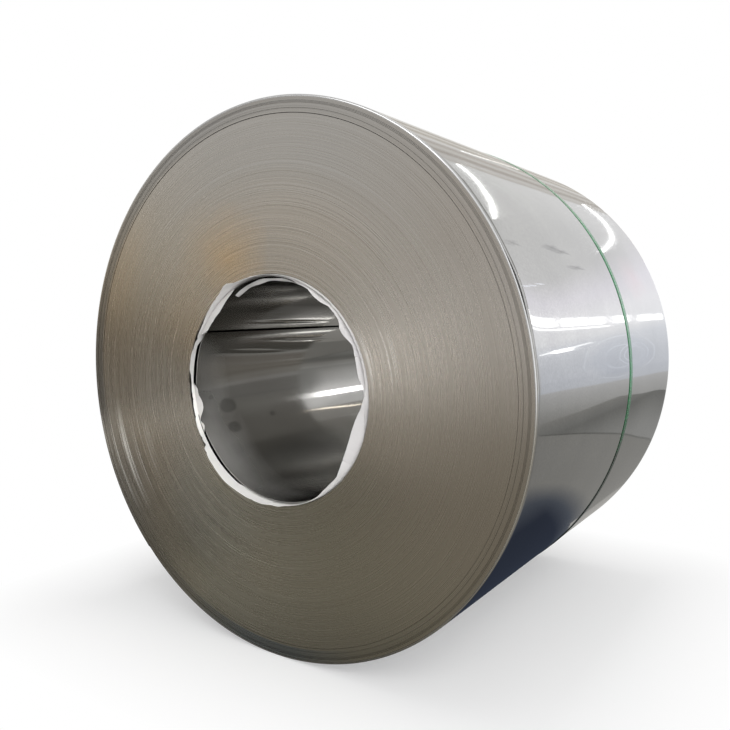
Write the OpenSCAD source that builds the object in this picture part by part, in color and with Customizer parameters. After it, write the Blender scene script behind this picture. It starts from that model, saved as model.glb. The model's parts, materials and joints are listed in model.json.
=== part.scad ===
// Coil of steel strip lying on its side, with interleaf paper standing out round the eye of its front
// end and one strap round its belly. Each piece is drawn as if the coil stood on its back end, and is
// then laid down with the front end towards -Y and the axis level.

/* [Coil] */
// Diameter of the eye, the bore that the winding mandrel leaves
bore_d = 500; // [400:1:620]
// Outside diameter over the last wrap
coil_od = 1220; // [900:1:1600]
// Width of the strip, and so the length of the coil
strip_w = 1000; // [600:1:1600]
// Thickness of the strip
strip_t = 2; // [0.6:0.1:4]

/* [Wound ends] */
// Wraps that lie level with each other in one band of an end
band_wraps = 6; // [3:1:12]
// How far the lowest band lies below its end
band_dip = 1.2; // [0.2:0.1:4]
// Wraps outside the open turn on the front end
outer_wraps = 17; // [4:1:25]
// Width of the open turn
open_turn_w = 1.2; // [0.4:0.1:3]
// Depth of the open turn
open_turn_depth = 12; // [4:1:40]

/* [Strip ends] */
// Direction of the strip's inner end, seen from the front, from +X towards +Z
head_angle = 150; // [0:1:359]
// Angle over which the step beside the inner end fades into the eye
head_fade = 40; // [20:1:80]
// Direction of the strip's outer end
tail_angle = 225; // [0:1:359]
// Angle over which the step beyond the outer end fades into the last wrap
tail_fade = 30; // [20:1:40]

/* [Eye] */
// Innermost wraps, which lie back from the front end
eye_wraps = 2; // [1:1:6]
// How far they lie back
eye_recess = 16; // [4:1:60]

/* [Interleaf paper] */
// Thickness of the layered paper
paper_t = 0.6; // [0.2:0.1:2]
// Depth of paper held behind the edge of the innermost wraps
paper_seat = 45; // [20:1:200]
// How far the paper stands out from the front end where it is tallest
paper_out = 25; // [8:1:60]
// How far its torn edge leans outwards at the most
paper_lean = 6; // [0:0.5:15]
// Clearance between the paper and the wraps on each side of it
paper_gap = 0.3; // [0.1:0.05:0.6]

/* [Strap] */
// Width of the strap
strap_w = 19; // [9:1:32]
// Thickness of the strap
strap_t = 1; // [0.5:0.1:2]
// Place of its middle along the coil, as a share of the strip's width from the front end
strap_place_share = 0.6; // [0.1:0.01:0.9]
// Clearance between the strap and the last wrap
strap_gap = 0.3; // [0.1:0.05:0.6]
// Length over which the strap's ends lap at their weld
weld_l = 45; // [20:1:90]
// Direction of the weld
weld_angle = 198; // [0:1:359]

/* [Hidden] */

// How far a cut runs past the face that it opens
overrun = 5;

bore_r = bore_d / 2;
coil_r = coil_od / 2;
strap_r = coil_r + strap_gap;
axis_z = strap_r + strap_t;
back_y = (strip_w + paper_out) / 2;

// Bands of level wraps across an end, and the phase that sets each end's dips
bands = round((coil_r - bore_r) / (band_wraps * strip_t));
band_w = (coil_r - bore_r) / bands;
band_turn = 137.5;
front_phase = 20;
back_phase = 75;

// Slot between the innermost wraps and the rest, where the paper is held
slot_r = bore_r + eye_wraps * strip_t;
slot_w = paper_t + 2 * paper_gap;
slot_depth = eye_recess + paper_seat + paper_gap;
open_turn_r = coil_r - outer_wraps * strip_t - open_turn_w;

// Torn edge of the paper: its facets, its lowest place, and its waves as count, weight and phase
paper_facets = 144;
tear_low_share = 0.35;
tear_waves = [[2, 1, 200], [5, 0.8, 10], [11, 0.6, 95], [23, 0.45, 40], [41, 0.3, 160]];
lean_waves = [[2, 1, 310], [3, 0.7, 120], [9, 0.3, 60]];

// Depth of band i below its end: the last band at the outside is level with the end
function dip(i, phase) = i == bands - 1 ? 0 : band_dip * (1 + sin(i * band_turn + phase)) / 2;

// Stepped edge of one end from the bore outwards, at height z, with its dips along direction way
function end_edge(z, way, phase) = [
    for (i = [0 : bands - 1])
        for (r = [bore_r + i * band_w, bore_r + (i + 1) * band_w])
            [r, z + way * dip(i, phase)]
];

function reversed(list) = [for (i = [len(list) - 1 : -1 : 0]) list[i]];

// Sum of waves round a turn at angle a
function ripple(waves, a) = [for (w = waves) w[1] * sin(w[0] * a + w[2])] * [for (w = waves) 1];

// Waves round a turn in count steps, from 0 at the lowest to 1 at the highest
function unit_ripple(waves, count) =
    let (
        raw = [for (i = [0 : count - 1]) ripple(waves, i * 360 / count)],
        low = min(raw),
        high = max(raw)
    )
    [for (v = raw) (v - low) / (high - low)];

// Ring of points at heights zs and radii rs, one of each for every facet
function ring(rs, zs) = [
    for (i = [0 : len(rs) - 1])
        let (a = i * 360 / len(rs))
        [rs[i] * cos(a), rs[i] * sin(a), zs[i]]
];

function level(value, count) = [for (i = [0 : count - 1]) value];

// Lays a coil that stands on its back end down on its side, with its front end towards -Y
module laid() {
    translate([0, back_y, axis_z])
        rotate([90, 0, 0])
            children();
}

// Circle that meets a round of radius r at the angle fade, and lies rise outside it at angle 0
module drifted_circle(r, rise, fade) {
    shift = rise * (2 * r + rise) / (2 * (r + rise - r * cos(fade)));
    translate([shift, 0])
        circle(r + rise - shift);
}

// Half section of the wound strip, with its stepped ends, recessed eye, paper slot and open turn
module wound_section() {
    difference() {
        polygon(concat(
            end_edge(0, 1, back_phase),
            reversed(end_edge(strip_w, -1, front_phase))
        ));
        translate([bore_r - overrun, strip_w - eye_recess])
            square([slot_r - bore_r + overrun, eye_recess + overrun]);
        translate([slot_r, strip_w - slot_depth])
            square([slot_w, slot_depth + overrun]);
        translate([open_turn_r, strip_w - open_turn_depth])
            square([open_turn_w, open_turn_depth + overrun]);
    }
}

// Hollow on the clockwise side of the strip's inner end, one strip thickness deep at the end
module head_step() {
    rotate(head_angle)
        intersection() {
            drifted_circle(bore_r, strip_t, head_fade);
            translate([0, -coil_r])
                square(coil_r);
        }
}

// Flat taken off beyond the strip's outer end, one strip thickness deep at the end
module tail_step() {
    rotate(tail_angle)
        difference() {
            square(coil_r + overrun);
            drifted_circle(coil_r, -strip_t, tail_fade);
        }
}

module coil() {
    color([0.70, 0.69, 0.67])
        laid()
            difference() {
                rotate_extrude()
                    wound_section();
                translate([0, 0, -overrun])
                    linear_extrude(strip_w + 2 * overrun) {
                        head_step();
                        tail_step();
                    }
            }
}

// Thin tube held in the slot, whose free edge is torn and leans outwards
module interleaf_paper() {
    r_in = slot_r + paper_gap;
    r_out = r_in + paper_t;
    seat_z = strip_w - slot_depth + paper_gap;
    tall = unit_ripple(tear_waves, paper_facets);
    lean = unit_ripple(lean_waves, paper_facets) * paper_lean;
    edge_z = [for (h = tall) strip_w + paper_out * (tear_low_share + (1 - tear_low_share) * h)];
    rings = [
        ring(level(r_in, paper_facets), level(seat_z, paper_facets)),
        ring(level(r_out, paper_facets), level(seat_z, paper_facets)),
        ring(level(r_out, paper_facets), level(strip_w, paper_facets)),
        ring([for (s = lean) r_out + s], edge_z),
        ring([for (s = lean) r_in + s], edge_z),
        ring(level(r_in, paper_facets), level(strip_w, paper_facets))
    ];
    faces = [
        for (k = [0 : len(rings) - 1])
            for (i = [0 : paper_facets - 1])
                let (
                    here = k * paper_facets,
                    next = (k + 1) % len(rings) * paper_facets,
                    j = (i + 1) % paper_facets
                )
                for (face = [[here + i, next + i, next + j], [here + i, next + j, here + j]])
                    face
    ];
    color([0.93, 0.91, 0.86])
        laid()
            polyhedron([for (points = rings) each points], faces);
}

// Closed band, double where its ends lap at the weld
module strap() {
    weld_turn = weld_l / strap_r * 180 / PI;
    color([0.13, 0.36, 0.22])
        laid()
            translate([0, 0, strip_w * (1 - strap_place_share) - strap_w / 2]) {
                rotate_extrude()
                    translate([strap_r, 0])
                        square([strap_t, strap_w]);
                rotate([0, 0, weld_angle])
                    rotate_extrude(angle = weld_turn)
                        translate([strap_r + strap_t / 2, 0])
                            square([strap_t * 3 / 2, strap_w]);
            }
}

coil();
interleaf_paper();
strap();
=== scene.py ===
"""Looks of a coil of bright steel strip on its side, with torn paper round its eye and a strap."""
import json
import math
from functools import reduce

import bpy
import numpy as np
from mathutils import Matrix, Vector


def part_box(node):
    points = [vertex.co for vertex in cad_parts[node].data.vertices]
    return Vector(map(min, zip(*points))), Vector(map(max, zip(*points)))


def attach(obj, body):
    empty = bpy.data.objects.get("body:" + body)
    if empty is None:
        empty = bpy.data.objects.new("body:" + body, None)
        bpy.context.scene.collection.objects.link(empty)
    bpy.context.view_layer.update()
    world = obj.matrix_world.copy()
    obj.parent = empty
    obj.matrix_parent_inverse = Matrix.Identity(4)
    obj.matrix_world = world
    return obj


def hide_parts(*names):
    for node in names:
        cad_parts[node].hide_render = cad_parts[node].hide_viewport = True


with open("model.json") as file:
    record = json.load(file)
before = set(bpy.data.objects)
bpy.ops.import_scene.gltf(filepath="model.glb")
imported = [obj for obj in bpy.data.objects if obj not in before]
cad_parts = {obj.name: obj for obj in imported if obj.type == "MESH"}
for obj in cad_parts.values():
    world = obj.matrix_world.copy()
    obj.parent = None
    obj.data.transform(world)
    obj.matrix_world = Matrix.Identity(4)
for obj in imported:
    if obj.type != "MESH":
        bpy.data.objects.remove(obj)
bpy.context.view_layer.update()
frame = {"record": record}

# Sizes of the coil, in metres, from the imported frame
MM = 0.001
coil_low, coil_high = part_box("coil")
strap_low, strap_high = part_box("strap")
eye_mount = next(m for m in frame["record"]["mounts"] if m["name"] == "eye")
COIL_R = (coil_high.x - coil_low.x) / 2
EYE_R = eye_mount["dims"]["r_mm"] * MM
FRONT_Y = coil_low.y
BACK_Y = coil_high.y
COIL_L = BACK_Y - FRONT_Y
AXIS_Z = eye_mount["pos_m"][2]
AXIS = Vector((0, 0, AXIS_Z))

# Strip and its turns; angles run from the right of the front end over its top
STRIP_T = 2.0 * MM
TURNS = round((COIL_R - EYE_R) / STRIP_T)
EYE_TURNS = 2
LOOSE_TURNS = 16
LOOSE_FIRST = TURNS - 1 - LOOSE_TURNS
OPEN_TURN_R = EYE_R + (LOOSE_FIRST - 1) * STRIP_T
EYE_RECESS = 16 * MM
OPEN_TURN_DEPTH = 12 * MM
HEAD_ANGLE = 150
TAIL_ANGLE = 225
TAIL_FADE = 30

# Paper, which stands just outside the innermost turns, and strap
PAPER_R = EYE_R + EYE_TURNS * STRIP_T + 1.4 * MM
STRAP_T = 1.2 * MM
WELD_ANGLE = 198
WELD_L = 45 * MM


# Mesh building

def add_object(name, points, faces, material, sharp_angle=40):
    """Smooth mesh object from points round the coil's axis and faces of four corners each."""
    volume = 0.0
    for corners in ((0, 1, 2), (0, 2, 3)):
        p, q, r = (points[faces[:, i]] for i in corners)
        volume += np.einsum("ij,ij->", p, np.cross(q, r))
    if volume < 0:
        faces = faces[:, ::-1]
    mesh = bpy.data.meshes.new(name)
    mesh.vertices.add(len(points))
    mesh.vertices.foreach_set("co", points.astype(np.float32).ravel())
    mesh.loops.add(faces.size)
    mesh.loops.foreach_set("vertex_index", faces.astype(np.int32).ravel())
    mesh.polygons.add(len(faces))
    mesh.polygons.foreach_set("loop_start", np.arange(0, faces.size, 4, dtype=np.int32))
    mesh.polygons.foreach_set("use_smooth", np.ones(len(faces), dtype=bool))
    mesh.update(calc_edges=True)
    mesh.validate()
    mesh.set_sharp_from_angle(angle=math.radians(sharp_angle))
    mesh.materials.append(material)
    obj = bpy.data.objects.new(name, mesh)
    obj.location = AXIS
    bpy.context.scene.collection.objects.link(obj)
    return obj


def grid_faces(columns, rows, closed):
    """Corner numbers of a grid whose columns are closed loops of rows.

    closed joins the last column to the first.
    """
    last = columns if closed else columns - 1
    col, row = np.meshgrid(np.arange(last), np.arange(rows), indexing="ij")
    next_col, next_row = (col + 1) % columns, (row + 1) % rows
    corners = ((col, row), (next_col, row), (next_col, next_row), (col, next_row))
    return np.stack([(c * rows + r).ravel() for c, r in corners], axis=1)


def cap_faces(start, rows):
    """Faces that close a column of rows corners, pairing its two halves."""
    near = np.arange(rows // 2 - 1)
    far = rows - 1 - near
    return np.stack([near, near + 1, far - 1, far], axis=1) + start


def round_points(angles, radius, along):
    """Points from columns of radii and of places along the axis, one for each angle in degrees."""
    a = np.broadcast_to(np.radians(angles)[:, None], radius.shape)
    return np.stack([radius * np.cos(a), along, radius * np.sin(a)], axis=-1).reshape(-1, 3)


def sheet(name, angles, radius, along, thickness, material, closed=False):
    """Thin closed sheet round the axis.

    radius and along place its outside, with a column for each angle.
    """
    radius = np.hstack([radius, radius[:, ::-1] - thickness])
    rows = radius.shape[1]
    points = round_points(angles, radius, np.hstack([along, along[:, ::-1]]))
    faces = grid_faces(len(angles), rows, closed)
    if not closed:
        last = (len(angles) - 1) * rows
        faces = np.vstack([faces, cap_faces(0, rows), cap_faces(last, rows)[:, ::-1]])
    return add_object(name, points, faces, material)


def full_turn(count):
    """Angles of even steps round the turn."""
    return np.arange(count) * 360 / count


def turn_between(angles, middle):
    """Signed degrees from the angle middle, from -180 to 180."""
    return np.mod(angles - middle + 180, 360) - 180


def hump(distance, width):
    """Bell curve of height 1."""
    return np.exp(-(distance / width) ** 2)


def ripple(angles, waves, rng, first=1):
    """Sum of waves round the turn, of falling height, from 0 on average."""
    a = np.radians(angles)
    total = np.zeros_like(a)
    for n in range(first, first + waves):
        total += np.cos(n * a + rng.uniform(0, 2 * math.pi)) / math.sqrt(n - first + 1)
    return total / math.sqrt(waves)


def round_table(angles, table, column=1, soften=1.2):
    """Closed curve through a column of a table of angles and values, soft over some degrees."""
    stops = [row[0] for row in table]
    values = [row[column] for row in table]
    shifts = np.linspace(-soften, soften, 7)
    curves = [np.interp(angles + shift, stops, values, period=360) for shift in shifts]
    return np.mean(curves, axis=0)


# Node building

# Sockets of a Mix node for colours
MIX_SHARE, MIX_UNDER, MIX_OVER, MIX_COLOUR = 0, 6, 7, 2


def principled(name):
    """A new material, its nodes and its main shader."""
    material = bpy.data.materials.new(name)
    material.use_nodes = True
    tree = material.node_tree
    return material, tree, tree.nodes["Principled BSDF"]


def feed(tree, node, inputs):
    """Gives each input of a node a plain value or another node's output."""
    for key, value in inputs.items():
        if isinstance(value, bpy.types.NodeSocket):
            tree.links.new(value, node.inputs[key])
        else:
            node.inputs[key].default_value = value


def wire(tree, kind, inputs=None, **settings):
    """New node of a kind, with its settings and inputs."""
    node = tree.nodes.new("ShaderNode" + kind)
    for name, value in settings.items():
        setattr(node, name, value)
    feed(tree, node, inputs or {})
    return node


def maths(tree, operation, *values):
    """Output of one operation on plain values or outputs."""
    return wire(tree, "Math", dict(enumerate(values)), operation=operation).outputs[0]


def product(tree, *values):
    """Output of all values multiplied."""
    return reduce(lambda first, second: maths(tree, "MULTIPLY", first, second), values)


def strongest(tree, *values):
    """Output of the greatest of the values."""
    return reduce(lambda first, second: maths(tree, "MAXIMUM", first, second), values)


def hypotenuse(tree, *sides):
    """Length of the slanting side of a right triangle."""
    squares = [maths(tree, "MULTIPLY", side, side) for side in sides]
    return maths(tree, "SQRT", maths(tree, "ADD", *squares))


def spread(tree, value, low, high, to_low=0.0, to_high=1.0):
    """Value mapped from low and high to to_low and to_high, and held there beyond them."""
    limits = {"From Min": low, "From Max": high, "To Min": to_low, "To Max": to_high}
    return wire(tree, "MapRange", {"Value": value, **limits}).outputs["Result"]


def ramp(tree, share, stops):
    """Colour output along share, from rows of a place and a colour."""
    node = wire(tree, "ValToRGB", {"Fac": share})
    elements = node.color_ramp.elements
    elements[0].position, elements[1].position = stops[0][0], stops[-1][0]
    elements[0].color, elements[1].color = (*stops[0][1], 1), (*stops[-1][1], 1)
    for place, colour in stops[1:-1]:
        elements.new(place).color = (*colour, 1)
    return node.outputs["Color"]


def layered(tree, colour, layers):
    """Colour output of a plain colour under layers, rows of a share and of the colour on top."""
    colour = (*colour, 1)
    for share, over in layers:
        inputs = {MIX_SHARE: share, MIX_UNDER: colour, MIX_OVER: (*over, 1)}
        colour = wire(tree, "Mix", inputs, data_type="RGBA").outputs[MIX_COLOUR]
    return colour


def even_noise(tree, vector, scale, detail):
    """Noise that is alike in all directions."""
    inputs = {"Vector": vector, "Scale": scale, "Detail": detail}
    return wire(tree, "TexNoise", inputs).outputs["Fac"]


def noise(tree, parts, scales, detail):
    """Noise over three outputs, each stretched by its own scale."""
    parts = [maths(tree, "MULTIPLY", part, scale) for part, scale in zip(parts, scales)]
    vector = wire(tree, "CombineXYZ", dict(enumerate(parts))).outputs[0]
    return even_noise(tree, vector, 1.0, detail)


def bump(tree, height, strength, distance):
    """Normal output of a surface raised by height."""
    inputs = {"Height": height, "Strength": strength, "Distance": distance}
    return wire(tree, "Bump", inputs).outputs[0]


def object_place(tree):
    """Output of a point's place, measured from the middle of the axis for the pieces."""
    return wire(tree, "TexCoord").outputs["Object"]


def object_axes(tree):
    """Outputs of a point's place along X, Y and Z."""
    return wire(tree, "SeparateXYZ", {0: object_place(tree)}).outputs


def round_axis(tree):
    """Outputs of a point's distance from the axis, place along it, and angle's cosine and sine."""
    at = object_axes(tree)
    radius = hypotenuse(tree, at["X"], at["Z"])
    cosine, sine = (maths(tree, "DIVIDE", at[axis], radius) for axis in "XZ")
    return radius, at["Y"], cosine, sine


def mark(tree, radius, angle, depth, half_round, half_along, ragged=0.0):
    """Output that is 0 in the middle of an oval mark and 1 at its edge.

    depth is its distance from the front end, ragged how far its edge wanders. depth and the half
    sizes are in millimetres.
    """
    a = math.radians(angle)
    centre = (radius * math.cos(a), FRONT_Y + depth * MM, radius * math.sin(a))
    across, along = 1 / (half_round * MM), 1 / (half_along * MM)
    offset = object_place(tree)
    for operation, vector in (("SUBTRACT", centre), ("MULTIPLY", (across, along, across))):
        offset = wire(tree, "VectorMath", {0: offset, 1: vector}, operation=operation).outputs[0]
    distance = wire(tree, "VectorMath", {0: offset}, operation="LENGTH").outputs["Value"]
    if not ragged:
        return distance
    uneven = even_noise(tree, offset, 1.6, 3.0)
    return maths(tree, "ADD", distance, spread(tree, uneven, 0, 1, -ragged, ragged))


# Materials

# Black painted as shade into gaps and onto hidden sides
PAINTED_SHADE_BLACK = (0.012, 0.012, 0.012)
# Half length in millimetres of a mark that reaches from end to end
THROUGH = 2000

# Smudges on the last wrap: angle, depth, half sizes round and along, and darkness
SMUDGES = [
    (29.6, 250, 8, 55, 0.75), (29.0, 296, 6, 60, 0.8), (25.8, 350, 6, 62, 0.75),
    (29.2, 48, 7, 42, 0.5),
]
# Dried water on it: its angle, and rings of depth, half sizes round and along, places of the
# lines, and strength
WATER_ANGLE = 6.8
WATER_RINGS = [(550, 46, 290, (0.55, 1.0), 0.5), (640, 24, 130, (0.7, 1.0), 1.0)]
# Lengths of the scratch on its lifted front edge: angle, depth, and how far the edge lifts there
SCRATCHES = [(21.2, 26, 2.0), (21.4, 60, 1.0), (21.8, 100, 0.4)]
# Oil stains in the eye: angle, depth, size, and darkness
OIL_STAINS = [(194, 112, 20, 0.5), (207, 112, 16, 0.5), (188, 60, 6, 0.3), (203, 262, 8, 0.4)]


def brush_round(tree, shader, strength):
    """Stretches the highlights as fine lines round the axis do."""
    tangent = wire(tree, "Tangent", direction_type="RADIAL", axis="Y").outputs[0]
    feed(tree, shader, {
        "Anisotropic": strength, "Anisotropic Rotation": 0.25, "Tangent": tangent,
    })


def end_steel():
    """Cut edges of the turns: taupe steel with fine lines round the axis, with painted shade that
    makes its gaps black.

    It is tan near the eye and olive below. Painted glints light its turns at the lower left and
    right of the eye. Painted shade darkens its right and left sides and its outer turns at the
    bottom. A painted highlight makes the chamfered corner inside the last wrap bright.
    """
    material, tree, shader = principled("steel_ends")
    radius, along, cosine, sine = round_axis(tree)
    turn = (radius, cosine, sine)
    fine = noise(tree, turn, (330, 1.5, 1.5), 1)
    lines = noise(tree, turn, (95, 1.2, 1.2), 1)
    cloud = noise(tree, turn, (5, 1.6, 1.6), 0)
    glinting_turns = spread(tree, noise(tree, turn, (150, 0.9, 0.9), 1), 0.5, 0.62)

    stain = mark(tree, 305 * MM, 112, 0, 130, THROUGH, 0.3)
    tan = strongest(
        tree, spread(tree, stain, 1, 0, 0, 0.95),
        product(tree, spread(tree, cloud, 0.45, 0.8, 0, 0.45), spread(tree, cosine, 0.2, -0.2)))
    # Painted shade: the outer turns at the right are darker, so the highlight there fades away from
    # the eye
    painted_shade_right = product(
        tree, spread(tree, cosine, 0.1, 0.8, 0, 0.6),
        spread(tree, radius, 330 * MM, 540 * MM), spread(tree, sine, -0.6, -0.1))
    # Painted shade: darker at the left
    painted_shade_left = product(
        tree, spread(tree, cosine, -0.2, -0.7, 0, 0.35), spread(tree, sine, 0.7, 0.3))
    grey_top = product(
        tree, spread(tree, sine, 0.6, 0.95, 0, 0.5), spread(tree, radius, 380 * MM, 480 * MM))
    olive_below = spread(tree, sine, -0.4, -0.9, 0, 0.45)
    # Painted glints: bright turns at the lower left and right of the eye, where the turns catch the
    # light
    painted_glint_left = mark(tree, 550 * MM, 202, 0, 150, THROUGH, 0.2)
    painted_glint_right = mark(tree, 268 * MM, 16, 0, 85, THROUGH, 0.1)
    painted_glints = strongest(
        tree, spread(tree, painted_glint_left, 1, 0.2), spread(tree, painted_glint_right, 1, 0.2, 0, 0.4))

    rim_r = COIL_R - LOOSE_TURNS * STRIP_T
    rim = spread(tree, radius, rim_r, rim_r + 1 * MM)
    bright_rim = mark(tree, COIL_R, 212, 0, 260, THROUGH)
    dark_rim = product(
        tree, spread(tree, cosine, -0.8, 0.4, 0.62, 0.08),
        spread(tree, bright_rim, 0.6, 1.1, 0.15, 1))
    # Painted shade: the outer turns are darker and bluish at the bottom
    painted_shade_rim = spread(tree, mark(tree, COIL_R, 268, 0, 260, THROUGH), 1, 0.3, 0, 0.65)
    # Painted highlight: the chamfered outer corner inside the last wrap is painted bright where it
    # catches the light
    chamfer = spread(tree, radius, COIL_R - 4.8 * MM, COIL_R - 4.2 * MM)
    off_middle = maths(
        tree, "ABSOLUTE", maths(tree, "SUBTRACT", along, (FRONT_Y + BACK_Y) / 2))
    # Painted shade: the walls in the gaps, more than a few millimetres in from the ends, are black
    inside = spread(tree, off_middle, COIL_L / 2 - 4 * MM, COIL_L / 2 - 1 * MM, 1, 0)

    colour = layered(tree, (0.42, 0.39, 0.354), [
        (tan, (0.51, 0.395, 0.27)),
        (spread(tree, fine, 0.36, 0.64, 0.09, 0.0), (0.28, 0.25, 0.225)),
        (spread(tree, lines, 0.22, 0.36, 0.06, 0.0), (0.25, 0.22, 0.195)),
        (spread(tree, lines, 0.66, 0.8, 0.0, 0.05), (0.6, 0.56, 0.52)),
        (painted_shade_right, (0.3, 0.275, 0.245)),
        (painted_shade_left, (0.26, 0.235, 0.195)),
        (grey_top, (0.34, 0.34, 0.335)),
        (olive_below, (0.355, 0.365, 0.3)),
        (product(tree, painted_glints, glinting_turns), (0.92, 0.91, 0.89)),
        (product(tree, rim, dark_rim), (0.19, 0.19, 0.19)),
        (product(tree, rim, painted_shade_rim), (0.2, 0.24, 0.28)),
        (inside, PAINTED_SHADE_BLACK),
        (chamfer, (0.8, 0.8, 0.8)),
    ])
    rough = spread(tree, fine, 0.3, 0.7, 0.3, 0.25)
    feed(tree, shader, {"Base Color": colour, "Roughness": rough, "Metallic": 1})
    brush_round(tree, shader, 0.85)
    return material


def wrap_steel():
    """Bright rolled face of the strip under a film of oil.

    It has smudges, a blush, a scratch and the rings of dried water.
    """
    material, tree, shader = principled("steel_last_wrap")
    _, along, cosine, sine = round_axis(tree)
    surface = (along, cosine, sine)
    rolled = noise(tree, surface, (900, 4, 4), 1)
    grain = noise(tree, surface, (170, 130, 130), 2)
    cloud = noise(tree, surface, (7, 5, 5), 4)

    smudges = []
    for angle, depth, half_round, half_along, dark in SMUDGES:
        smudge = mark(tree, COIL_R, angle, depth, half_round, half_along, 0.8)
        smudges.append((spread(tree, smudge, 1, 0, 0, dark), (0.12, 0.12, 0.12)))
    blush = mark(tree, COIL_R, 24.8, 780, 70, 110, 0.4)
    puddle = mark(tree, COIL_R, WATER_ANGLE, 560, 44, 280, 0.12)
    rings = []
    for depth, half_round, half_along, places, strength in WATER_RINGS:
        edge = mark(tree, COIL_R, WATER_ANGLE, depth, half_round, half_along, 0.1)
        for place in places:
            off_line = maths(tree, "ABSOLUTE", maths(tree, "SUBTRACT", edge, place))
            rings.append(spread(tree, off_line, 0.05, 0.0, 0, strength))
    rings = product(tree, strongest(tree, *rings), spread(tree, cloud, 0.4, 0.6))
    scratch = []
    for angle, depth, lift in SCRATCHES:
        line = mark(tree, COIL_R + lift * MM, angle, depth, 1.7, 30, 0.2)
        scratch.append(spread(tree, line, 1, 0.5))
    scratch = strongest(tree, *scratch)
    worn = strongest(tree, product(tree, rings, 0.4), product(tree, scratch, 0.8))

    colour = layered(tree, (0.51, 0.505, 0.495), [
        (spread(tree, cloud, 0.35, 0.7, 0, 0.6), (0.41, 0.408, 0.405)),
        (spread(tree, rolled, 0.3, 0.7, 0.12, 0), (0.3, 0.3, 0.3)),
        (spread(tree, grain, 0.35, 0.65, 0.2, 0), (0.28, 0.28, 0.28)),
        *smudges,
        (spread(tree, blush, 1, 0, 0, 0.7), (0.55, 0.43, 0.42)),
        # Painted shade: darker towards the back end
        (spread(tree, along, FRONT_Y + 0.25, BACK_Y, 0, 0.42), (0.3, 0.3, 0.3)),
        (spread(tree, puddle, 1.05, 0.8, 0, 0.25), (0.3, 0.325, 0.37)),
        (worn, (0.75, 0.78, 0.82)),
    ])
    rough = maths(tree, "ADD", spread(tree, grain, 0.3, 0.7, 0.035, 0.06), product(tree, worn, 0.3))
    feed(tree, shader, {
        "Base Color": colour, "Roughness": rough, "Metallic": 1,
        "Coat Weight": 0.25, "Coat Roughness": 0.2,
    })
    return material


def eye_steel():
    """Duller face of the innermost wrap, glossier away from its front edge.

    It has oil stains and dust near its front edge. Painted shade darkens it low down and makes its
    outer side black.
    """
    material, tree, shader = principled("steel_eye_wrap")
    _, along, cosine, sine = round_axis(tree)
    surface = (along, cosine, sine)
    rolled = noise(tree, surface, (500, 3, 3), 1)
    cloud = noise(tree, surface, (5, 2, 2), 3)

    dust = spread(tree, mark(tree, EYE_R, 220, 20, 250, 130, 0.35), 1.1, 0.1, 0, 0.6)
    # Painted shade: darker low in the eye, where the steel is also made rougher
    painted_shade_low = spread(tree, mark(tree, EYE_R, 248, 340, 150, 320, 0.2), 1, 0.5, 0, 0.65)
    stains = []
    for angle, depth, size, dark in OIL_STAINS:
        stain = mark(tree, EYE_R, angle, depth, size, 1.6 * size, 0.15)
        stains.append((spread(tree, stain, 1, 0.75, 0, dark), (0.1, 0.1, 0.095)))
    facing = wire(tree, "SeparateXYZ", {0: wire(tree, "TexCoord").outputs["Normal"]}).outputs
    outward = maths(
        tree, "ADD", product(tree, facing["X"], cosine), product(tree, facing["Z"], sine))

    colour = layered(tree, (0.4, 0.395, 0.38), [
        (spread(tree, cloud, 0.35, 0.7, 0, 0.6), (0.34, 0.33, 0.315)),
        (dust, (0.36, 0.355, 0.34)),
        (painted_shade_low, (0.135, 0.134, 0.116)),
        *stains,
        # Painted shade: its outer side, in the narrow gap, is black
        (spread(tree, outward, 0.3, 0.6), PAINTED_SHADE_BLACK),
    ])
    rough = product(
        tree, spread(tree, rolled, 0.3, 0.7, 0.1, 0.13),
        spread(tree, along, FRONT_Y + 0.12, FRONT_Y + 0.35, 1, 0.72))
    feed(tree, shader, {
        "Base Color": colour,
        "Roughness": maths(tree, "ADD", rough, product(tree, painted_shade_low, 0.23)),
        "Metallic": maths(tree, "SUBTRACT", 1.0, dust),
    })
    brush_round(tree, shader, 0.6)
    return material


def paper(name, clean, soiled):
    """Interleaving paper, creased and a little soiled.

    Painted shade makes it greyer at the right and above.
    """
    material, tree, shader = principled(name)
    _, _, cosine, sine = round_axis(tree)
    creases = even_noise(tree, object_place(tree), 70.0, 5.0)
    soil = even_noise(tree, object_place(tree), 14.0, 3.0)
    # Painted shade: greyer at the right and above
    painted_shade_side = strongest(
        tree, spread(tree, cosine, 0.45, 0.85, 0, 0.75), spread(tree, sine, -0.2, 0.3, 0, 0.5))
    colour = layered(tree, clean, [
        (spread(tree, soil, 0.5, 0.75, 0, 0.6), soiled),
        (painted_shade_side, (0.52, 0.505, 0.51)),
    ])
    normal = bump(tree, creases, 0.5, 2 * MM)
    feed(tree, shader, {"Base Color": colour, "Roughness": 0.85, "Normal": normal})
    return material


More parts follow.
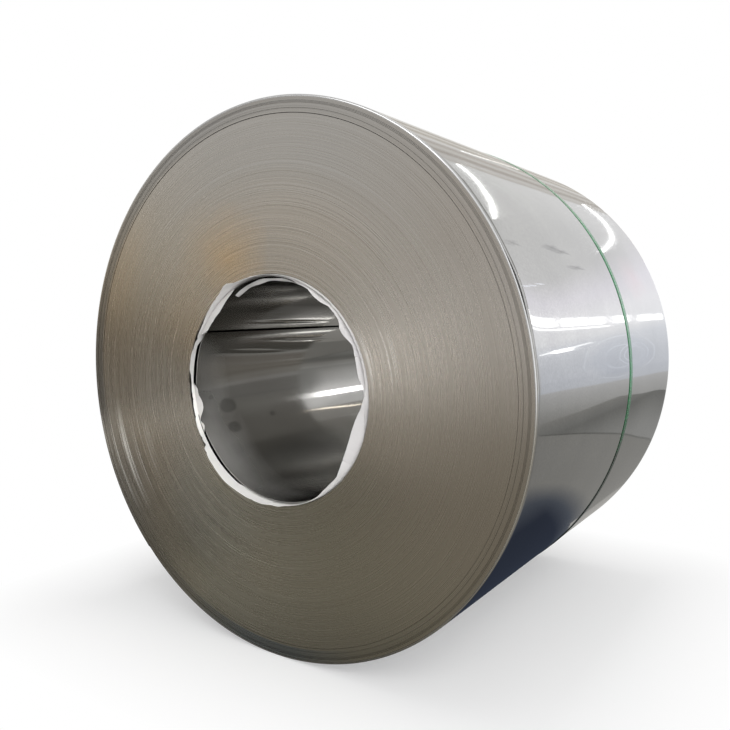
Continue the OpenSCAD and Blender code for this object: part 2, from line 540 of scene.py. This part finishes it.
def strap_plastic():
    """Green strap pressed with small diamonds, with a painted sheen on top of the coil and painted
    shade below.
    """
    material, tree, shader = principled("strap_plastic")
    _, along, cosine, sine = round_axis(tree)
    arc = maths(tree, "MULTIPLY", maths(tree, "ARCTAN2", sine, cosine), COIL_R)
    pitch = 2 * math.pi / (4 * MM)
    waves = []
    for sign in (1, -1):
        slant = maths(tree, "ADD", arc, maths(tree, "MULTIPLY", along, sign))
        waves.append(maths(tree, "SINE", maths(tree, "MULTIPLY", slant, pitch)))
    diamonds = product(tree, *waves)
    worn = noise(tree, (along, cosine, sine), (60, 14, 14), 3)
    colour = layered(tree, (0.036, 0.19, 0.078), [
        (spread(tree, worn, 0.4, 0.7), (0.055, 0.26, 0.115)),
        # Painted sheen: lighter on top of the coil
        (spread(tree, sine, 0.5, 0.95, 0, 0.65), (0.46, 0.52, 0.45)),
        # Painted shade: nearly black below
        (spread(tree, sine, 0.0, -0.3, 0, 0.96), (0.003, 0.01, 0.006)),
    ])
    rough = spread(tree, worn, 0.3, 0.7, 0.18, 0.26)
    normal = bump(tree, diamonds, 0.25, 0.3 * MM)
    feed(tree, shader, {"Base Color": colour, "Roughness": rough, "Normal": normal})
    return material


# Pieces of the coil

# Width of the one open turn, in millimetres by angle
OPEN_TURN = [(0, 0.6), (60, 1.0), (100, 1.6), (150, 1.9), (190, 1.6), (230, 1.1), (300, 0.6)]
# Distance over which the eye's sag fades into the turns outside it
SAG_REACH = 60 * MM
# Turns that start a new level band, slant of bands and turns, and depth of a closed groove
NEW_BAND_SHARE = 0.17
TURN_SLANT = 0.002
GROOVE_DEPTH = 0.008 * MM
CHAMFER_SLOPE = 0.9
# Gap between the last wrap and the turns inside it
WRAP_GAP = 0.4 * MM

# Angles where the last wrap's front edge lifts and lies furthest back, and where its back buckles
LIFT_ANGLE = 21.5
SET_BACK_ANGLE = 20
BUCKLE_ANGLE = -8

# Bulges at the front edge of the innermost wrap: angle and width in degrees
EYE_BULGES = [(173, 10), (220, 18)]
# Ridges along it: angle, slant in degrees, nearest and farthest depth and height in millimetres
EYE_RIDGES = [(145, 1, 200, 440, 0.9), (158, 2.5, 250, 500, 0.9), (163, 3, 90, 300, 0.3)]


def open_turn(angles):
    """Width of the open turn."""
    return round_table(angles, OPEN_TURN, soften=20) * MM


def open_floor(angles):
    """Width of the open turn's floor, which ends just short of the loose turns."""
    return open_turn(angles) - 0.02 * MM


def loose_inside(angles):
    """Radius of the wall between the open turn and the loose turns."""
    return OPEN_TURN_R + open_turn(angles)


def loose_outside(angles):
    """Radius of the loose turns' outside, below the last wrap."""
    return COIL_R - STRIP_T - step_beyond_tail(np.mod(angles - TAIL_ANGLE, 360)) - WRAP_GAP


def eye_sag(angles):
    """How far the eye lies outside a true round: the coil's weight has pressed it a little flat."""
    a = np.radians(angles)
    return (2 * np.cos(a) + 2 * np.cos(2 * a) + 0.8 * np.sin(a) - 0.9) * MM


def step_beyond_tail(degrees_past):
    """Depth of the step that the tail stands on, which fades out beyond it."""
    return STRIP_T * np.clip(1 - degrees_past / TAIL_FADE, 0, 1)


def turn_edges(rng, angles, count, open_share, open_depth):
    """Depth below the end of the inner and outer corner of each turn, and of the groove outside it.

    A share of the grooves stands open to a greater depth.
    """
    band = np.cumsum(rng.random(count) < NEW_BAND_SHARE)
    band_dip = rng.uniform(0.03, 0.1, band[-1] + 1)[band] * MM
    band_slant = rng.normal(0, TURN_SLANT, band[-1] + 1)[band]
    depth = np.empty((len(angles), count))
    for k in range(count):
        uneven = 0.01 * MM * rng.normal() + 0.005 * MM * ripple(angles, 3, rng)
        depth[:, k] = band_dip[k] + uneven
    rise = (band_slant + rng.normal(0, TURN_SLANT, count)) * STRIP_T / 2
    groove = depth + np.where(rng.random(count) < open_share, open_depth, GROOVE_DEPTH)
    edges = np.stack([depth - rise, depth + rise, groove], axis=2)
    return np.maximum(edges.reshape(len(angles), -1), 0)


def turned_ring(name, first, last, columns, seed, material, inner=None, outer=None,
                floor_width=None, groove_share=0.1, open_share=0.03, open_depth=0.06 * MM,
                chamfer=0.0):
    """Closed ring of the turns from first to last, whose edges show on both ends.

    inner and outer give other radii by angle for its two walls, and floor_width the floor of an
    open turn outside it. groove_share is the part of each turn that its groove takes, and chamfer
    the width of its worn outer corner.
    """
    rng = np.random.default_rng(seed)
    angles = full_turn(columns)
    count = last - first
    across = np.array([0.1, 1 - groove_share, 1.0])
    radius = (EYE_R + (first + np.arange(count)[:, None] + across) * STRIP_T).ravel()
    radius = np.tile(radius, (columns, 1))
    start = inner(angles) if inner else np.full(columns, EYE_R + first * STRIP_T)
    if outer:
        last_inside = EYE_R + (last - 1) * STRIP_T
        radius[:, -3:] = last_inside + (outer(angles) - last_inside)[:, None] * across
    ends = [turn_edges(rng, angles, count, open_share, open_depth) for _ in range(2)]
    ends = [np.hstack([end[:, :1], end]) for end in ends]
    radius = np.hstack([start[:, None], radius])
    if chamfer:
        past_corner = np.maximum(radius - radius[:, -1:] + chamfer, 0)
        ends = [end + CHAMFER_SLOPE * past_corner for end in ends]
    if floor_width is not None:
        wall = radius[:, -1:]
        radius = np.hstack([radius, wall, wall + floor_width(angles)[:, None]])
        ends = [np.hstack([end, np.full((columns, 2), OPEN_TURN_DEPTH)]) for end in ends]
    radius = radius + eye_sag(angles)[:, None] * np.exp((EYE_R - radius) / SAG_REACH)
    profile_r = np.hstack([radius, radius[:, ::-1]])
    profile_y = np.hstack([FRONT_Y + ends[0], BACK_Y - ends[1][:, ::-1]])
    points = round_points(angles, profile_r, profile_y)
    return add_object(name, points, grid_faces(columns, profile_r.shape[1], True), material, 60)


def eye_wrap(material):
    """Innermost turn of the strip, from its head edge round to the place below that edge."""
    past_head = np.concatenate([
        np.arange(0, 25, 0.25), np.arange(25, 335, 1.25), np.arange(335, 360.1, 0.25),
    ])
    angles = HEAD_ANGLE + past_head
    far_depth = (COIL_L - EYE_RECESS) / MM - 1
    depth = np.concatenate([[0.5, 1.5], np.linspace(6, far_depth, 44)]) * MM
    depth = EYE_RECESS + np.broadcast_to(depth, (len(angles), len(depth)))
    lift = 4 * MM * np.exp(-np.radians(past_head) * EYE_R / (30 * MM))
    radius = EYE_R + STRIP_T * (1 + past_head / 360) - lift + eye_sag(angles)
    radius = radius[:, None] + np.zeros_like(depth)
    for angle, width in EYE_BULGES:
        bulge = hump(turn_between(angles, angle), width)[:, None]
        radius -= 3 * MM * bulge * np.exp(-depth / (150 * MM))
    for angle, slant, near, far, height in EYE_RIDGES:
        share = (depth / MM - near) / (far - near)
        window = hump(share - 0.5, 0.42)
        ridge = hump(turn_between(angles, angle)[:, None] - slant * (share - 0.5), 0.9)
        radius = radius - height * MM * ridge * window
    return sheet("coil_eye_wrap", angles, radius, FRONT_Y + depth, STRIP_T, material)


def last_wrap(material):
    """Outermost turn of the strip, from its tail.

    Its front edge is set back and stands off a little at the right.
    """
    angles = TAIL_ANGLE - np.linspace(0, 360, 601)
    depth = np.concatenate([[0, 0.4, 1.2], np.linspace(6, 994, 62), [998.8, 999.6, 1000]]) * MM
    depth = np.broadcast_to(depth, (len(angles), len(depth)))
    share = depth / COIL_L
    a = np.radians(angles)[:, None]
    waves = (np.sin(5 * a + 7 * share) + np.sin(11 * a - 13 * share + 1)
             + np.sin(3 * a + 19 * share + 2))
    lift = 3.2 * hump(turn_between(angles, LIFT_ANGLE)[:, None], 6) * np.exp(-share / 0.06)
    buckle = 1.2 * hump(turn_between(angles, BUCKLE_ANGLE)[:, None], 6) * hump(share - 0.88, 0.13)
    edge = 0.7 * (hump(share, 0.0008) + hump(share - 1, 0.0008))
    step = step_beyond_tail(angles - angles[-1])[:, None]
    radius = COIL_R - step + MM * (0.05 * waves - 0.15 + lift - buckle - edge)
    set_back = (1.5 + 2.5 * hump(turn_between(angles, SET_BACK_ANGLE), 40)[:, None]) * MM
    along = FRONT_Y + set_back + depth * (1 - (set_back + 0.2 * MM) / COIL_L)
    return sheet("coil_last_wrap", angles, radius, along, STRIP_T, material)


# Paper round the eye: rows of angle, height of the torn edge before the front end, and lean,
# inwards below 0, in millimetres
CUFF = [
    (1, 8, -8), (4, 6, -5), (7, 5, -3), (25, 4, -2), (60, 4, -2), (90, 4, -1), (108, 5, 0),
    (112.5, 8, 1), (114, 17, 4), (117, 17, 3), (120, 13.5, 1), (124, 9.5, 0), (128, 4, 0),
    (133, 1, 0), (138, -2.5, 0), (143, -5.5, 0), (148, -6.4, 0), (153, -5, 0), (158, -3, 0),
    (163, 0, 0), (172.5, 0, 0), (174.5, -5.4, 0), (179, -7.4, 0), (184, -6.5, 0),
    (196, -5.4, 0), (199, -2, 0), (202, -0.7, 0), (206, -0.8, 0), (210.6, -2.4, 0),
    (213.5, -5.3, 0), (215, 4, 0), (222, 9.2, 0), (230, 11.7, 0), (238, 15, 0), (245, 13.2, 0),
    (260, 13, 0), (265, 13.5, 0), (269.5, 5, 0), (275, 8, 0), (279, 3, -1), (294, 4, -2),
    (301, 6, -3.5), (306.5, 8, -8), (312, 8, -10), (318, 8, -10), (320, 8, -13), (328, 8, -22),
    (335, 8, -26), (343, 8, -27), (349, 8, -24.5), (353, 8, -20), (356, 8, -13.5),
]
LEAF = [
    (5, 5, -8), (7, 5, -9.5), (10, 5, -16), (13.6, 5, -17), (17.7, 5, -15.5), (21.4, 5, -13.6),
    (26, 5, -8.8), (28.4, 5, -12.6), (31.5, 5, -17.7), (35, 5, -20.4), (37, 5, -19),
    (39.3, 5, -10), (48.7, 5, -7.5), (51, 5, -11), (54, 5, -14.4), (58.8, 5, -14),
    (61, 5, -11.5), (63, 5, -7), (66, 5, -7.5), (70, 2, -8), (75, 0, -5), (90, -4, -3),
    (108, -6, -2), (112, -5, -3), (114, -4, -5), (117, -4, -11.5), (121, -4, -14.5),
    (127, -4, -21), (131.5, -4, -24), (146, -4, -22.5), (149, -5, -15), (152, -8, -5),
    (158, -10, -2), (178, -10, -2), (180, -8, -10), (181.6, -8, -19), (185, -8, -19),
    (188, -8, -27), (191, -8, -31), (194, -8, -28.5), (197, -8, -18), (199.5, -8, -7),
    (201.5, -8, -12), (203, -8, -19), (205.5, -9, -10), (208, -10, -2), (270, -10, -1),
    (340, -6, -2), (352, 2, -5),
]
# Depth of paper behind the front end, less where the innermost wrap stands clear of it
SEAT = [(153, 30), (158, 13), (180, 13), (184, 30), (193, 30), (196, 14), (242, 14), (254, 30)]


def paper_ring(name, table, radius, thickness, bend_below, tears, seed, material, span=None):
    """Torn paper that stands out between the innermost turns and the rest, bent as its table says.

    It goes all round, or from the first to the last angle of span.
    """
    rng = np.random.default_rng(seed)
    angles = np.arange(span[0], span[1], 0.25) if span else full_turn(1440)
    seat = round_table(angles, SEAT) * MM
    height = round_table(angles, table, 1, 0.6) + 0.4 * ripple(angles, 60, rng, 12)
    for _ in range(tears):
        tear = turn_between(angles, rng.uniform(0, 360)) / rng.uniform(0.3, 1.2)
        height -= rng.uniform(0.5, 2.5) * np.exp(-np.abs(tear))
    height = np.maximum(height, 1 - bend_below) * MM
    lean = round_table(angles, table, 2) * MM
    crumple = 0.5 * ripple(angles, 30, rng, 8) * MM
    share = np.linspace(0, 1, 20)
    out = -seat[:, None] + (seat + height)[:, None] * share
    below = bend_below * MM
    free = np.clip((out + below) / (height + below)[:, None], 0, 1)
    middle = radius + eye_sag(angles)[:, None] + lean[:, None] * free ** 1.4
    middle = middle + crumple[:, None] * free * (1 - 0.4 * np.sin(3 * free))
    outside = middle + thickness / 2
    return sheet(name, angles, outside, FRONT_Y - out, thickness, material, closed=not span)


def paper_end(material):
    """Loose end of a paper strip that hangs from the top of the eye."""
    share = np.linspace(0, 1, 80)[:, None]
    across = np.linspace(0, 1, 8)
    angles = 68 + 47 * share[:, 0]
    front_edge = 4 + 15 * share ** 3
    deep_edge = 6 + 9 * share + 7 * share ** 3
    drop = front_edge + (deep_edge - front_edge) * across
    uneven = (1.2 * np.sin(math.pi * across) * np.sin(7 * share)
              + 0.8 * np.sin(19 * share + 2 * across))
    radius = EYE_R - (drop + uneven) * MM
    along = FRONT_Y + (2 + 0.8 * np.sin(23 * share) + 9 * across) * MM
    return sheet("interleaf_paper_end", angles, radius, along, 0.4 * MM, material)


def strap_band(material):
    """Closed band round the coil, double where its ends lap at the weld."""
    angles = full_turn(720)
    half_weld = math.degrees(WELD_L / COIL_R) / 2
    ramp_turn = 0.5
    past_weld = np.abs(turn_between(angles, WELD_ANGLE + half_weld)) - half_weld
    doubled = np.clip(1 - past_weld / ramp_turn, 0, 1)
    inner = np.full(len(angles), COIL_R)
    outer = inner + STRAP_T + doubled * MM
    bevel = 0.7 * MM
    low, high = strap_low.y, strap_high.y
    profile = [
        (inner, low), (outer - bevel, low), (outer, low + bevel),
        (outer, high - bevel), (outer - bevel, high), (inner, high),
    ]
    radius = np.stack([p[0] for p in profile], axis=1)
    along = np.tile([p[1] for p in profile], (len(angles), 1))
    points = round_points(angles, radius, along)
    faces = grid_faces(len(angles), len(profile), True)
    return add_object("strap_band", points, faces, material, 30)


def dress(node, pieces):
    """Rides pieces on the coil's body in the stead of a node, and hides the node."""
    for piece in pieces:
        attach(piece, "root")
        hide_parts(node)


steel_end = end_steel()
half_way = (EYE_TURNS + LOOSE_FIRST) // 2
dress("coil", [
    turned_ring("coil_inner_turns", EYE_TURNS + 1, half_way, 200, 11, steel_end),
    turned_ring("coil_outer_turns", half_way, LOOSE_FIRST - 1, 200, 12, steel_end,
                floor_width=open_floor),
    turned_ring("coil_loose_turns", LOOSE_FIRST, TURNS - 1, 360, 13, steel_end,
                inner=loose_inside, outer=loose_outside,
                groove_share=0.18, open_share=0.4, open_depth=2 * MM, chamfer=2.2 * MM),
    eye_wrap(eye_steel()),
    last_wrap(wrap_steel()),
])
white_paper = paper("paper_cuff", (0.95, 0.94, 0.91), (0.78, 0.77, 0.74))
# Painted shade: the leaf and the hanging end are darker copies of the paper, grey where less light
# reaches them
shaded_leaf_paper = paper("paper_leaf", (0.78, 0.76, 0.74), (0.5, 0.49, 0.47))
shaded_end_paper = paper("paper_end", (0.5, 0.49, 0.47), (0.28, 0.275, 0.265))
cuff_t, leaf_t = 0.5 * MM, 0.25 * MM
leaf_r = PAPER_R - 0.45 * MM
dress("interleaf_paper", [
    paper_ring("interleaf_paper_cuff", CUFF, PAPER_R, cuff_t, 12, 40, 7, white_paper),
    paper_ring("interleaf_paper_leaf", LEAF, leaf_r, leaf_t, 16, 60, 8, shaded_leaf_paper, (268, 511)),
    paper_ring("interleaf_paper_patch", LEAF, leaf_r, leaf_t, 16, 0, 9, shaded_leaf_paper, (179, 207)),
    paper_end(shaded_end_paper),
])
dress("strap", [strap_band(strap_plastic())])


# Stage

# Share of the surroundings' light that falls on matt surfaces
AMBIENT = 0.55
# How far the wide cards reach, and half the side of the floor, in metres
FAR = 13.0
FLOOR_HALF = 60
# Middle of the front end, from which lamps are placed, and the coil's middle seen from there
FRONT_MIDDLE = Vector((0, FRONT_Y, AXIS_Z))
COIL_MIDDLE = Vector((0, COIL_L / 2, 0))
# Places of the side walls, the height of their tops and the height where their colours start;
# heights are from the axis
LEFT_X, LEFT_TOP = -3.5, 1.5
RIGHT_X, RIGHT_TOP = 2.6, 4.5
FOOT = -0.6


def seen_directly(tree):
    """Output that is 1 for rays from the camera, off gloss or through glass, and 0 for the rest."""
    rays = wire(tree, "LightPath").outputs
    return strongest(
        tree, rays["Is Camera Ray"], rays["Is Glossy Ray"], rays["Is Transmission Ray"])


def footprint_distance(tree):
    """Output that gives the distance on the floor from the coil's footprint, 0 below the coil."""
    at = object_axes(tree)
    beyond = []
    for axis, half in (("X", COIL_R), ("Y", COIL_L / 2)):
        reach = maths(tree, "SUBTRACT", maths(tree, "ABSOLUTE", at[axis]), half)
        beyond.append(maths(tree, "MAXIMUM", reach, 0.0))
    return hypotenuse(tree, *beyond)


def height_above_axis(tree):
    """Output of a point's height above the coil's axis."""
    return maths(tree, "SUBTRACT", object_axes(tree)["Z"], AXIS_Z)


def sideways(tree):
    """Output of a point's place from left to right."""
    return object_axes(tree)["X"]


def plane(name, corners, material):
    """Flat object of the stage with four corners."""
    mesh = bpy.data.meshes.new(name)
    mesh.from_pydata(corners, [], [(0, 1, 2, 3)])
    mesh.materials.append(material)
    obj = bpy.data.objects.new(name, mesh)
    bpy.context.scene.collection.objects.link(obj)
    return obj


def level_corners(across, along, height):
    """Corners of a level rectangle that spans the two ranges."""
    return [(across[i], along[j], height) for i, j in ((0, 0), (1, 0), (1, 1), (0, 1))]


def upright_corners(start, end, top):
    """Corners of an upright rectangle that stands on the floor between two points."""
    return [(*start, 0), (*end, 0), (*end, top), (*start, top)]


def floor():
    """Pale floor that takes the coil's shadow and turns to plain white away from it."""
    material, tree, shader = principled("floor")
    feed(tree, shader, {
        "Base Color": (0.9, 0.9, 0.9, 1), "Roughness": 0.9, "Specular IOR Level": 0.1,
    })
    away = spread(tree, footprint_distance(tree), 0.0, 0.35, 0.4, 1.0)
    share = product(tree, away, seen_directly(tree))
    white = wire(tree, "Emission").outputs[0]
    mix = wire(tree, "MixShader", {0: share, 1: shader.outputs[0], 2: white})
    feed(tree, tree.nodes["Material Output"], {"Surface": mix.outputs[0]})
    reach = (-FLOOR_HALF, FLOOR_HALF)
    plane("floor", level_corners(reach, reach, 0), material)


def reflection_card(name, corners, measure, limits, stops):
    """Card that shows in reflections alone, coloured by stops between the limits of a measure."""
    material = bpy.data.materials.new(name)
    material.use_nodes = True
    tree = material.node_tree
    tree.nodes.remove(tree.nodes["Principled BSDF"])
    colour = ramp(tree, spread(tree, measure(tree), *limits), stops)
    glow = wire(tree, "Emission", {"Color": colour})
    feed(tree, tree.nodes["Material Output"], {"Surface": glow.outputs[0]})
    card = plane(name, corners, material)
    card.visible_camera = False
    card.visible_diffuse = False
    card.visible_shadow = False
    card.visible_transmission = False
    card.visible_volume_scatter = False


def floor_card(name, along, stops):
    """Wide card on the floor, coloured by the distance from the coil."""
    corners = level_corners((-FAR, FAR), along, 2 * MM)
    reflection_card(name, corners, footprint_distance, (0, 12), stops)


def level_card(name, across, along, height, stops):
    """Level card coloured from left to right; along is given from the coil's front end."""
    corners = level_corners(across, [FRONT_Y + y for y in along], height)
    reflection_card(name, corners, sideways, across, stops)


def wall_card(name, start, end, top, stops):
    """Upright card coloured from its foot to its top, which is given from the axis."""
    corners = upright_corners(start, end, AXIS_Z + top)
    reflection_card(name, corners, height_above_axis, (FOOT, top), stops)


def area_lamp(name, at, aim, size, radiance, colour=(1, 1, 1)):
    """Rectangle of light that faces aim; both places are from the middle of the front end."""
    data = bpy.data.lights.new(name, "AREA")
    data.shape = "RECTANGLE"
    data.size, data.size_y = size
    data.energy = radiance * math.pi * size[0] * size[1]
    data.color = colour
    lamp = bpy.data.objects.new(name, data)
    lamp.location = FRONT_MIDDLE + Vector(at)
    lamp.rotation_mode = "QUATERNION"
    lamp.rotation_quaternion = (Vector(aim) - Vector(at)).to_track_quat("-Z", "Y")
    lamp.visible_camera = False
    bpy.context.scene.collection.objects.link(lamp)
    return lamp


def tube_lamp(name, start, end, width, radiance, colour=(1, 1, 1)):
    """Long lamp that shines at the coil; its ends are placed from the middle of the front end."""
    start, end = Vector(start), Vector(end)
    middle = (start + end) / 2
    size = ((end - start).length, width)
    lamp = area_lamp(name, middle, COIL_MIDDLE, size, radiance, colour)
    side = (end - start).normalized()
    facing = COIL_MIDDLE - middle
    facing = (facing - side * facing.dot(side)).normalized()
    turned = Matrix((side, side.cross(facing), -facing)).transposed()
    lamp.rotation_quaternion = turned.to_quaternion()


def studio_world():
    """White surroundings, dimmer for the light that they cast on matt surfaces."""
    world = bpy.data.worlds.new("studio")
    bpy.context.scene.world = world
    world.use_nodes = True
    tree = world.node_tree
    strength = spread(tree, seen_directly(tree), 0, 1, AMBIENT, 1)
    feed(tree, tree.nodes["Background"], {"Color": (1, 1, 1, 1), "Strength": strength})


studio_world()
floor()

# Cards on the floor; those of a part of it lie a little above the wide ones
# Next to the coil the wide floor cards are dark: a painted shadow of the coil that shows in its
# reflections
floor_card("floor_card_back", (FRONT_Y, FAR), [
    (0.0, (0.03, 0.037, 0.056)), (0.012, (0.085, 0.096, 0.118)), (0.03, (0.28, 0.275, 0.26)),
    (0.08, (0.3, 0.295, 0.28)), (0.16, (0.3, 0.295, 0.28)), (0.33, (0.5, 0.5, 0.49)),
    (0.58, (0.64, 0.64, 0.64)), (0.62, (0.75, 0.78, 0.84)), (1.0, (0.78, 0.81, 0.88)),
])
mat_x = (0.4, 1.7)
level_card("floor_mat", mat_x, (2.45, 4.7), 4 * MM, [
    (0.0, (0.38, 0.38, 0.37)), (0.38, (0.34, 0.34, 0.33)), (0.66, (0.23, 0.23, 0.22)),
    (0.74, (0.205, 0.205, 0.195)), (0.8, (0.24, 0.24, 0.23)), (1.0, (0.3, 0.295, 0.28)),
])
level_card("floor_seam", mat_x, (2.41, 2.46), 5 * MM, [
    (0.0, (0.33, 0.33, 0.32)), (0.3, (0.22, 0.22, 0.21)), (0.7, (0.13, 0.13, 0.12)),
    (1.0, (0.26, 0.26, 0.25)),
])
level_card("floor_left", (-3.6, 0.4), (1.15, 6), 4 * MM, [
    (0.0, (0.6, 0.6, 0.59)), (0.7, (0.66, 0.66, 0.64)), (0.84, (0.5, 0.49, 0.47)),
    (1.0, (0.42, 0.41, 0.39)),
])
floor_card("floor_card_front", (-FAR, FRONT_Y), [
    (0.0, (0.14, 0.13, 0.11)), (0.03, (0.3, 0.275, 0.225)), (0.1, (0.38, 0.35, 0.29)),
    (0.25, (0.5, 0.475, 0.42)), (0.38, (0.72, 0.7, 0.66)), (1.0, (0.85, 0.84, 0.82)),
])
level_card("floor_mat_front", (-2.6, -0.4), (-1.7, -0.1), 4 * MM, [
    (0.0, (0.3, 0.275, 0.22)), (0.3, (0.1, 0.09, 0.075)), (0.83, (0.1, 0.09, 0.075)),
    (1.0, (0.28, 0.255, 0.21)),
])

# Cards round the coil and above it
wall_card("left_card", (LEFT_X, -6), (LEFT_X, 3), LEFT_TOP, [
    (0.0, (0.14, 0.13, 0.11)), (0.29, (0.24, 0.215, 0.17)), (0.42, (0.56, 0.495, 0.38)),
    (0.62, (0.82, 0.77, 0.67)), (1.0, (0.95, 0.95, 0.94)),
])
back_corners = upright_corners((-11, FAR), (FAR, FAR), 10)
reflection_card("back_card", back_corners, height_above_axis, (-1, 7), [
    (0.0, (0.78, 0.81, 0.88)), (0.13, (0.88, 0.91, 0.98)), (0.24, (1.05, 1.08, 1.15)),
    (0.29, (1.25, 1.26, 1.3)), (0.4, (1.3, 1.3, 1.35)), (0.5, (1.2, 1.18, 1.26)),
    (0.63, (0.92, 0.92, 0.93)), (1.0, (0.85, 0.85, 0.84)),
])
level_card("roof_card", (-3.2, -0.36), (2, FAR - FRONT_Y), AXIS_Z + 2.1, [
    (0.0, (0.7, 0.68, 0.64)), (0.35, (0.8, 0.79, 0.76)), (0.5, (0.45, 0.41, 0.36)),
    (0.58, (0.8, 0.78, 0.74)), (0.66, (0.5, 0.46, 0.4)), (0.74, (0.85, 0.84, 0.82)),
    (0.8, (0.5, 0.46, 0.42)), (0.86, (0.75, 0.73, 0.69)), (0.91, (0.45, 0.41, 0.37)),
    (0.95, (0.75, 0.73, 0.7)), (1.0, (0.6, 0.57, 0.53)),
])
wall_card("left_wall", (LEFT_X, 3), (LEFT_X, FAR), LEFT_TOP, [
    (0.0, (0.3, 0.3, 0.3)), (0.02, (0.3, 0.3, 0.3)), (0.03, (0.62, 0.62, 0.61)),
    (1.0, (0.62, 0.62, 0.61)),
])
right_near, right_middle, right_far = ((RIGHT_X, FRONT_Y + y) for y in (2.5, 4.1, 4.9))
wall_card("right_card", right_near, right_middle, RIGHT_TOP, [
    (0.0, (0.34, 0.34, 0.33)), (0.3, (0.36, 0.36, 0.35)), (1.0, (0.3, 0.3, 0.29)),
])
wall_card("right_glow", right_middle, right_far, RIGHT_TOP, [
    (0.0, (0.4, 0.4, 0.39)), (0.08, (0.65, 0.65, 0.64)), (0.18, (0.85, 0.85, 0.85)),
    (0.26, (1.2, 1.2, 1.2)), (0.36, (1.15, 1.15, 1.15)), (0.51, (1.05, 1.05, 1.05)),
    (0.56, (0.5, 0.49, 0.47)), (1.0, (0.35, 0.34, 0.32)),
])
high_corners = [
    (RIGHT_X, FRONT_Y + y, AXIS_Z + z)
    for y, z in ((4.9, 2.2), (6.2, 2.2), (8.2, 4.0), (4.9, 4.0))
]
reflection_card("right_high", high_corners, height_above_axis, (2, 4), [
    (0.0, (0.5, 0.49, 0.47)), (1.0, (0.4, 0.39, 0.37)),
])
dark_corners = [
    (x, FRONT_Y + y, AXIS_Z + 4) for x, y in ((-0.3, 3.2), (4.8, 3.2), (4.8, 8.2), (-0.3, 6.7))
]
reflection_card("roof_dark", dark_corners, sideways, (-0.3, 2.5), [
    (0.0, (0.22, 0.22, 0.2)), (1.0, (0.32, 0.31, 0.29)),
])

# Lamps
area_lamp("soft_top", (0.3, 0.4, 3.4), COIL_MIDDLE, (2.4, 2.4), 1.5)
area_lamp("front_fill", (2.6, -2.4, 2.3), (0, 0, 0), (2.4, 2.4), 6.2).visible_glossy = False
area_lamp("front_panel", (-2.3, -3.4, -0.3), (0, 0, 0), (0.35, 0.35), 4.2, (1, 0.96, 0.92))
tube_lamp("tube_near", (-1.21, 7.05, 4.0), (-0.13, 7.32, 4.0), 0.044, 4)
tube_lamp("tube_near_end", (-0.13, 7.32, 4.0), (0.99, 7.82, 4.0), 0.055, 4)
tube_lamp("tube_far", (-0.4, 5.7, 2.0), (0.54, 6.2, 2.0), 0.025, 4)
tube_lamp("tube_far_end", (0.54, 6.2, 2.0), (1.0, 6.28, 2.0), 0.03, 4)
tube_lamp("tube_left", (-1.0, 3.8, 2.0), (-1.35, 5.4, 2.0), 0.015, 3)
# Bright panes in a row along the right, by the distance of their near and far ends
PANE_X, PANE_Z = 2.5, 1.05
PANES = [
    (5.25, 5.95), (6.16, 6.5), (6.62, 6.98), (7.14, 7.52), (7.88, 8.6), (9.2, 9.75), (9.98, 10.5),
]
for pane, (near, far) in enumerate(PANES):
    tube_lamp(f"pane_{pane}", (PANE_X, near, PANE_Z), (PANE_X, far, PANE_Z), 0.2, 1.8)
tube_lamp("sill", (PANE_X, 4.9, 0.88), (PANE_X, 7.5, 0.88), 0.03, 1.5)
tube_lamp("pane_low", (PANE_X, 5.3, 0.4), (PANE_X, 5.8, 0.42), 0.06, 3)
tube_lamp("sill_low", (PANE_X, 4.9, 0.37), (PANE_X, 6.5, 0.5), 0.018, 1.5)
tube_lamp("pane_near", (PANE_X, 4.2, PANE_Z), (PANE_X, 4.95, PANE_Z), 0.3, 6.5)
tube_lamp("bar_high", (2.32, 4.53, 2.0), (1.9, 4.86, 2.0), 0.04, 6, (1, 0.9, 0.75))

# Camera at the photograph's place, aim and framing
camera_data = bpy.data.cameras.new("camera")
camera = bpy.data.objects.new("camera", camera_data)
bpy.context.scene.collection.objects.link(camera)
camera.location = FRONT_MIDDLE + Vector((1.0700, -1.1974, 0.1921))
camera.rotation_mode = "QUATERNION"
camera.rotation_quaternion = Vector((-0.5482, 0.8217, -0.1557)).to_track_quat("-Z", "Y")
camera_data.sensor_width = 36
camera_data.lens = 36.23
camera_data.shift_x = -0.0124
camera_data.shift_y = 0.0739
camera_data.clip_end = 200
bpy.context.scene.camera = camera
bpy.context.scene.view_settings.view_transform = "Standard"
